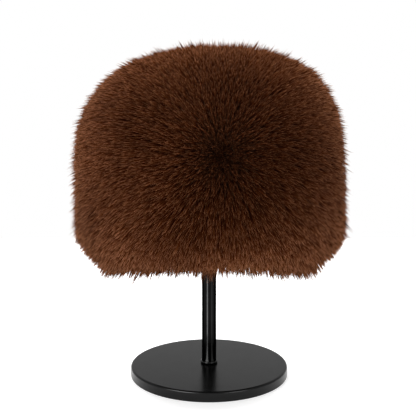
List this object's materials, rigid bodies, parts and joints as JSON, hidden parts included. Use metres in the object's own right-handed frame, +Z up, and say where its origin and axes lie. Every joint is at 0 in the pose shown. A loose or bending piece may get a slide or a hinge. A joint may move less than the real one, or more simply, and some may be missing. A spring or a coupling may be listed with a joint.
{
  "type": "fur beanie on display stand",
  "caption": "Deep-pile fur beanie with a hollow crown, held up on a plain stand with a round base and a slim post.",
  "frame": {"origin": "centre of the underside of the stand's round base, on the surface it stands on", "axes": "+Z up along the post, -Y towards the front of the hat, +X to the right as the picture shows it"},
  "size_m": [0.2566, 0.2724, 0.3081],
  "materials": {
    "stand_metal": "satin black powder coat",
    "hat_cloth": "close dark brown cloth",
    "hat_fur": "deep soft brown fur"
  },
  "bodies": {
    "root": {"stand_base": "stand_metal", "post_collar": "stand_metal", "stand_post": "stand_metal", "hat_rest": "stand_metal", "crown_wall": "hat_cloth", "fur_pile": "hat_fur"}
  },
  "joints": []
}
